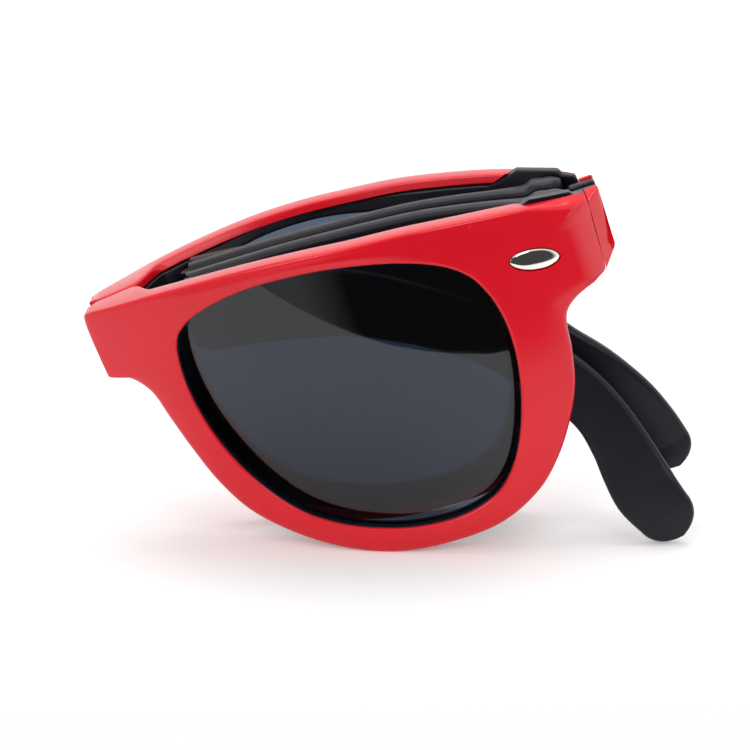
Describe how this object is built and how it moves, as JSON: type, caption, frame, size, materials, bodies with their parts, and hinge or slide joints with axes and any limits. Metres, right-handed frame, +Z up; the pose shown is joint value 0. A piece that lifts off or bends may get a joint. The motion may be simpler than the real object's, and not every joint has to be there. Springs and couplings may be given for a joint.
{
  "type": "folding sunglasses",
  "caption": "Folding sunglasses with smoked lenses, folded at the bridge, at both temple hinges and halfway along each temple.",
  "frame": {"origin": "on the surface it stands on, under the centre of the folded pair", "axes": "+Z up; +X from the bridge hinge towards the temple hinges; the left half faces -Y, the right half faces +Y"},
  "size_m": [0.088, 0.0352, 0.0518],
  "materials": {
    "red_gloss": "polished red plastic",
    "black_satin": "satin black plastic",
    "smoke_lens": "smoke-tinted lens",
    "bright_metal": "bright plated metal"
  },
  "bodies": {
    "left_half": {"left_front_shell": "red_gloss", "left_back_frame": "black_satin", "left_lens": "smoke_lens", "left_inlay": "bright_metal", "left_end_cap": "red_gloss", "left_bridge_leaf": "bright_metal", "bridge_pin": "bright_metal"},
    "left_temple_front": {"left_temple_front": "black_satin", "left_temple_hinge_pin": "bright_metal", "left_mid_hinge_pin": "bright_metal"},
    "left_temple_rear": {"left_temple_rear": "black_satin"},
    "right_half": {"right_front_shell": "red_gloss", "right_back_frame": "black_satin", "right_lens": "smoke_lens", "right_inlay": "bright_metal", "right_end_cap": "red_gloss", "right_bridge_leaf": "bright_metal"},
    "right_temple_front": {"right_temple_front": "black_satin", "right_temple_hinge_pin": "bright_metal", "right_mid_hinge_pin": "bright_metal"},
    "right_temple_rear": {"right_temple_rear": "black_satin"}
  },
  "joints": [
    {"name": "bridge_hinge", "type": "hinge", "parent": "left_half", "child": "right_half", "pos_m": [-0.04337, 0, 0.034], "axis": [-0.3123, 0, 0.95], "range_deg": [0, 162]},
    {"name": "left_temple_hinge", "type": "hinge", "parent": "left_half", "child": "left_temple_front", "pos_m": [0.01857, -0.0039, 0.05436], "axis": [0.3123, 0, -0.95], "range_deg": [0, 1]},
    {"name": "left_mid_hinge", "type": "hinge", "parent": "left_temple_front", "child": "left_temple_rear", "pos_m": [-0.02959, -0.00415, 0.03853], "axis": [0.3123, 0, -0.95], "range_deg": [0, 0.5]},
    {"name": "right_temple_hinge", "type": "hinge", "parent": "right_half", "child": "right_temple_front", "pos_m": [0.01857, 0.0039, 0.05436], "axis": [-0.3123, 0, 0.95], "range_deg": [0, 1]},
    {"name": "right_mid_hinge", "type": "hinge", "parent": "right_temple_front", "child": "right_temple_rear", "pos_m": [-0.02959, 0.00415, 0.03853], "axis": [-0.3123, 0, 0.95], "range_deg": [0, 0.5]}
  ]
}
